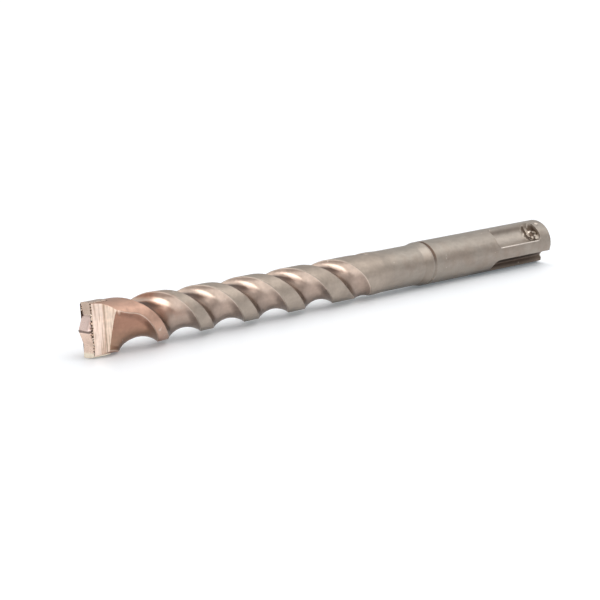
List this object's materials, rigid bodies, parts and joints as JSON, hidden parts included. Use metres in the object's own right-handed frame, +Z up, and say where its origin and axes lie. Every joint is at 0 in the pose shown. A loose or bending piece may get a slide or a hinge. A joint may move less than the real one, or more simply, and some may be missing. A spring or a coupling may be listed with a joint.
{
  "type": "sds plus drill bit",
  "caption": "Short masonry drill bit with a straight-flanked brazed carbide plate, spiral flutes and a grooved quick-change hammer shank.",
  "frame": {"origin": "centre of the flat struck face at the shank's end, on the bit's axis", "axes": "+X along the axis, out of the struck end, so the carbide tip is at -X; +Z up, with the carbide plate upright"},
  "size_m": [0.15, 0.0105, 0.0112],
  "materials": {
    "tool_steel": "blasted satin steel, warm grey, heat-tinted towards the head",
    "carbide": "ground sintered carbide with a coppery film",
    "braze": "dull copper braze, rough"
  },
  "bodies": {
    "root": {"drill_body": "tool_steel", "carbide_tip": "carbide", "braze_seam": "braze"}
  },
  "joints": []
}
